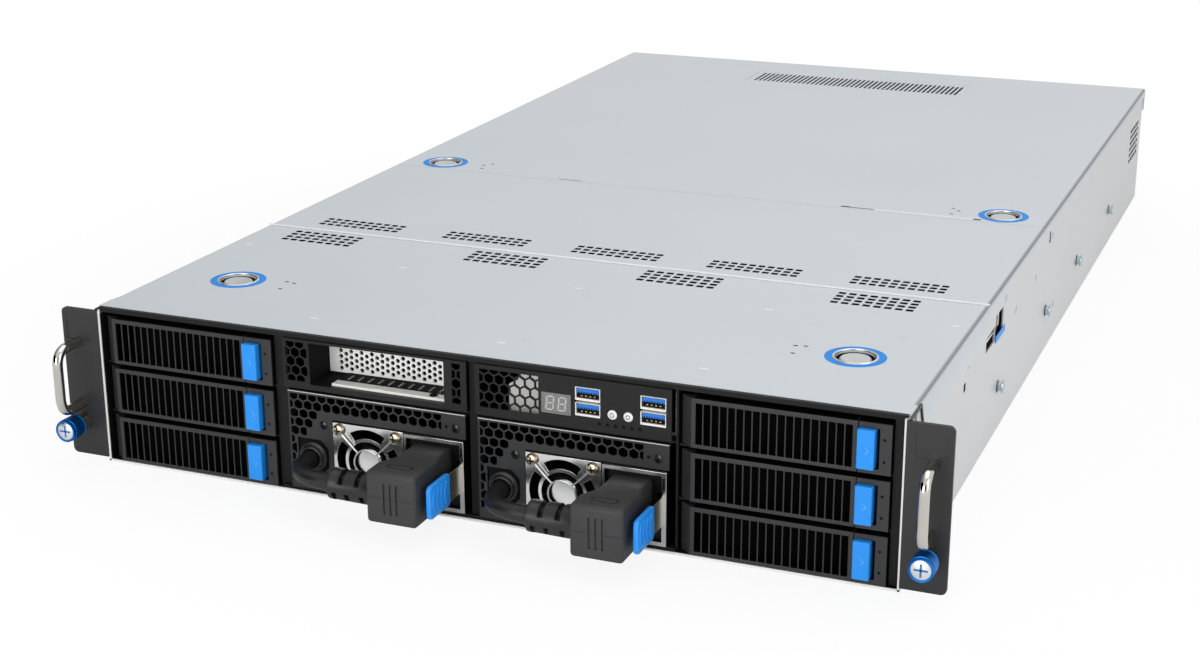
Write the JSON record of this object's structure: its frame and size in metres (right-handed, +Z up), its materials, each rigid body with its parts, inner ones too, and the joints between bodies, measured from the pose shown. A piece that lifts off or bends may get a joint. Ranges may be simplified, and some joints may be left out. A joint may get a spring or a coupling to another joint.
{
  "type": "gpu server",
  "caption": "Two-unit rack server with hot-swap drive carriers, front power supplies with bent-back cords, a control panel and lift-off covers.",
  "frame": {"origin": "middle of the tray's floor, on its underside", "axes": "front faces -Y, depth along Y, width along X, +Z up"},
  "size_m": [0.4826, 0.8278, 0.0882],
  "materials": {
    "zinc_steel": "zinc coated sheet, satin",
    "black_steel": "black powder coat, fine grain",
    "dark_steel": "dark grey satin coat",
    "chrome": "polished chrome",
    "blue_plastic": "bright blue moulded plastic",
    "black_plastic": "black moulded plastic",
    "black_rubber": "black cord sheath and moulded plug",
    "white_plastic": "white moulded plastic",
    "board": "green solder mask"
  },
  "bodies": {
    "chassis": {"chassis_tray": "zinc_steel", "front_frame": "black_steel", "mid_cover": "zinc_steel", "rack_ears": "black_steel", "rack_handles": "chrome", "fasteners": "chrome", "slot_panel": "black_steel", "slot_bracket": "zinc_steel", "control_panel": "black_steel", "digit_display": "white_plastic", "usb_ports": "zinc_steel", "psu_panels": "black_steel", "cord_glands": "black_plastic", "fan_cage": "dark_steel", "circuit_boards": "board", "gpu_cards": "dark_steel"},
    "front_lid": {"front_cover": "zinc_steel"},
    "rear_lid": {"rear_cover": "zinc_steel"},
    "latch_fl": {"cover_latch_fl": "zinc_steel"},
    "latch_fr": {"cover_latch_fr": "zinc_steel"},
    "latch_rl": {"cover_latch_rl": "zinc_steel"},
    "latch_rr": {"cover_latch_rr": "zinc_steel"},
    "thumb_left": {"thumb_screw_left": "blue_plastic"},
    "thumb_right": {"thumb_screw_right": "blue_plastic"},
    "power_button_body": {"power_button": "white_plastic"},
    "id_button_body": {"id_button": "white_plastic"},
    "psu_left": {"psu_case_left": "dark_steel", "psu_guard_left": "chrome", "power_plug_left": "black_rubber", "power_cord_left": "black_rubber"},
    "rotor_left": {"psu_rotor_left": "black_plastic"},
    "release_left": {"psu_latch_left": "blue_plastic"},
    "psu_right": {"psu_case_right": "dark_steel", "psu_guard_right": "chrome", "power_plug_right": "black_rubber", "power_cord_right": "black_rubber"},
    "rotor_right": {"psu_rotor_right": "black_plastic"},
    "release_right": {"psu_latch_right": "blue_plastic"},
    "carrier_1": {"drive_carrier_1": "dark_steel"},
    "lever_1": {"carrier_lever_1": "black_plastic"},
    "button_1": {"carrier_button_1": "blue_plastic"},
    "carrier_2": {"drive_carrier_2": "dark_steel"},
    "lever_2": {"carrier_lever_2": "black_plastic"},
    "button_2": {"carrier_button_2": "blue_plastic"},
    "carrier_3": {"drive_carrier_3": "dark_steel"},
    "lever_3": {"carrier_lever_3": "black_plastic"},
    "button_3": {"carrier_button_3": "blue_plastic"},
    "carrier_4": {"drive_carrier_4": "dark_steel"},
    "lever_4": {"carrier_lever_4": "black_plastic"},
    "button_4": {"carrier_button_4": "blue_plastic"},
    "carrier_5": {"drive_carrier_5": "dark_steel"},
    "lever_5": {"carrier_lever_5": "black_plastic"},
    "button_5": {"carrier_button_5": "blue_plastic"},
    "carrier_6": {"drive_carrier_6": "dark_steel"},
    "lever_6": {"carrier_lever_6": "black_plastic"},
    "button_6": {"carrier_button_6": "blue_plastic"},
    "fan_1": {"fan_rotor_1": "black_plastic"},
    "fan_2": {"fan_rotor_2": "black_plastic"},
    "fan_3": {"fan_rotor_3": "black_plastic"},
    "fan_4": {"fan_rotor_4": "black_plastic"}
  },
  "joints": [
    {"name": "front_cover_lift", "type": "slide", "parent": "chassis", "child": "front_lid", "axis": [0, 0, 1], "range_m": [0, 0.1]},
    {"name": "rear_cover_lift", "type": "slide", "parent": "chassis", "child": "rear_lid", "axis": [0, 0, 1], "range_m": [0, 0.1]},
    {"name": "cover_latch_fl_push", "type": "slide", "parent": "front_lid", "child": "latch_fl", "axis": [0, 0, -1], "range_m": [0, 0.002], "stiffness_N_per_m": 300},
    {"name": "cover_latch_fr_push", "type": "slide", "parent": "front_lid", "child": "latch_fr", "axis": [0, 0, -1], "range_m": [0, 0.002], "stiffness_N_per_m": 300},
    {"name": "cover_latch_rl_push", "type": "slide", "parent": "rear_lid", "child": "latch_rl", "axis": [0, 0, -1], "range_m": [0, 0.002], "stiffness_N_per_m": 300},
    {"name": "cover_latch_rr_push", "type": "slide", "parent": "rear_lid", "child": "latch_rr", "axis": [0, 0, -1], "range_m": [0, 0.002], "stiffness_N_per_m": 300},
    {"name": "thumb_screw_left_turn", "type": "hinge", "parent": "chassis", "child": "thumb_left", "pos_m": [-0.23255, -0.3925, 0.0214], "axis": [0, -1, 0], "continuous": true},
    {"name": "thumb_screw_right_turn", "type": "hinge", "parent": "chassis", "child": "thumb_right", "pos_m": [0.23255, -0.3925, 0.0214], "axis": [0, -1, 0], "continuous": true},
    {"name": "power_button_push", "type": "slide", "parent": "chassis", "child": "power_button_body", "axis": [0, 1, 0], "range_m": [0, 0.0008], "stiffness_N_per_m": 300},
    {"name": "id_button_push", "type": "slide", "parent": "chassis", "child": "id_button_body", "axis": [0, 1, 0], "range_m": [0, 0.0008], "stiffness_N_per_m": 300},
    {"name": "psu_left_pull", "type": "slide", "parent": "chassis", "child": "psu_left", "axis": [0, -1, 0], "range_m": [0, 0.18]},
    {"name": "psu_left_fan", "type": "hinge", "parent": "psu_left", "child": "rotor_left", "pos_m": [-0.0589, -0.3815, 0.0227], "axis": [0, 1, 0], "continuous": true},
    {"name": "psu_left_release", "type": "hinge", "parent": "psu_left", "child": "release_left", "pos_m": [-0.0066, -0.3835, 0.021], "axis": [0, 0, -1], "range_deg": [0, 3.5], "stiffness_Nm_per_rad": 0.2},
    {"name": "psu_right_pull", "type": "slide", "parent": "chassis", "child": "psu_right", "axis": [0, -1, 0], "range_m": [0, 0.18]},
    {"name": "psu_right_fan", "type": "hinge", "parent": "psu_right", "child": "rotor_right", "pos_m": [0.0492, -0.3815, 0.0227], "axis": [0, 1, 0], "continuous": true},
    {"name": "psu_right_release", "type": "hinge", "parent": "psu_right", "child": "release_right", "pos_m": [0.1015, -0.3835, 0.021], "axis": [0, 0, -1], "range_deg": [0, 3.5], "stiffness_Nm_per_rad": 0.2},
    {"name": "carrier_1_pull", "type": "slide", "parent": "chassis", "child": "carrier_1", "axis": [0, -1, 0], "range_m": [0, 0.15]},
    {"name": "carrier_1_lever", "type": "hinge", "parent": "carrier_1", "child": "lever_1", "pos_m": [-0.2124, -0.3835, 0.0695], "axis": [0, 0, -1], "range_deg": [0, 50]},
    {"name": "carrier_1_button", "type": "slide", "parent": "carrier_1", "child": "button_1", "axis": [1, 0, 0], "range_m": [0, 0.0015], "stiffness_N_per_m": 300},
    {"name": "carrier_2_pull", "type": "slide", "parent": "chassis", "child": "carrier_2", "axis": [0, -1, 0], "range_m": [0, 0.15]},
    {"name": "carrier_2_lever", "type": "hinge", "parent": "carrier_2", "child": "lever_2", "pos_m": [-0.2124, -0.3835, 0.0417], "axis": [0, 0, -1], "range_deg": [0, 50]},
    {"name": "carrier_2_button", "type": "slide", "parent": "carrier_2", "child": "button_2", "axis": [1, 0, 0], "range_m": [0, 0.0015], "stiffness_N_per_m": 300},
    {"name": "carrier_3_pull", "type": "slide", "parent": "chassis", "child": "carrier_3", "axis": [0, -1, 0], "range_m": [0, 0.15]},
    {"name": "carrier_3_lever", "type": "hinge", "parent": "carrier_3", "child": "lever_3", "pos_m": [-0.2124, -0.3835, 0.0139], "axis": [0, 0, -1], "range_deg": [0, 50]},
    {"name": "carrier_3_button", "type": "slide", "parent": "carrier_3", "child": "button_3", "axis": [1, 0, 0], "range_m": [0, 0.0015], "stiffness_N_per_m": 300},
    {"name": "carrier_4_pull", "type": "slide", "parent": "chassis", "child": "carrier_4", "axis": [0, -1, 0], "range_m": [0, 0.15]},
    {"name": "carrier_4_lever", "type": "hinge", "parent": "carrier_4", "child": "lever_4", "pos_m": [0.1134, -0.3835, 0.0695], "axis": [0, 0, -1], "range_deg": [0, 50]},
    {"name": "carrier_4_button", "type": "slide", "parent": "carrier_4", "child": "button_4", "axis": [1, 0, 0], "range_m": [0, 0.0015], "stiffness_N_per_m": 300},
    {"name": "carrier_5_pull", "type": "slide", "parent": "chassis", "child": "carrier_5", "axis": [0, -1, 0], "range_m": [0, 0.15]},
    {"name": "carrier_5_lever", "type": "hinge", "parent": "carrier_5", "child": "lever_5", "pos_m": [0.1134, -0.3835, 0.0417], "axis": [0, 0, -1], "range_deg": [0, 50]},
    {"name": "carrier_5_button", "type": "slide", "parent": "carrier_5", "child": "button_5", "axis": [1, 0, 0], "range_m": [0, 0.0015], "stiffness_N_per_m": 300},
    {"name": "carrier_6_pull", "type": "slide", "parent": "chassis", "child": "carrier_6", "axis": [0, -1, 0], "range_m": [0, 0.15]},
    {"name": "carrier_6_lever", "type": "hinge", "parent": "carrier_6", "child": "lever_6", "pos_m": [0.1134, -0.3835, 0.0139], "axis": [0, 0, -1], "range_deg": [0, 50]},
    {"name": "carrier_6_button", "type": "slide", "parent": "carrier_6", "child": "button_6", "axis": [1, 0, 0], "range_m": [0, 0.0015], "stiffness_N_per_m": 300},
    {"name": "fan_1_turn", "type": "hinge", "parent": "chassis", "child": "fan_1", "pos_m": [-0.126, -0.1455, 0.043], "axis": [0, 1, 0], "continuous": true},
    {"name": "fan_2_turn", "type": "hinge", "parent": "chassis", "child": "fan_2", "pos_m": [-0.042, -0.1455, 0.043], "axis": [0, 1, 0], "continuous": true},
    {"name": "fan_3_turn", "type": "hinge", "parent": "chassis", "child": "fan_3", "pos_m": [0.042, -0.1455, 0.043], "axis": [0, 1, 0], "continuous": true},
    {"name": "fan_4_turn", "type": "hinge", "parent": "chassis", "child": "fan_4", "pos_m": [0.126, -0.1455, 0.043], "axis": [0, 1, 0], "continuous": true}
  ]
}
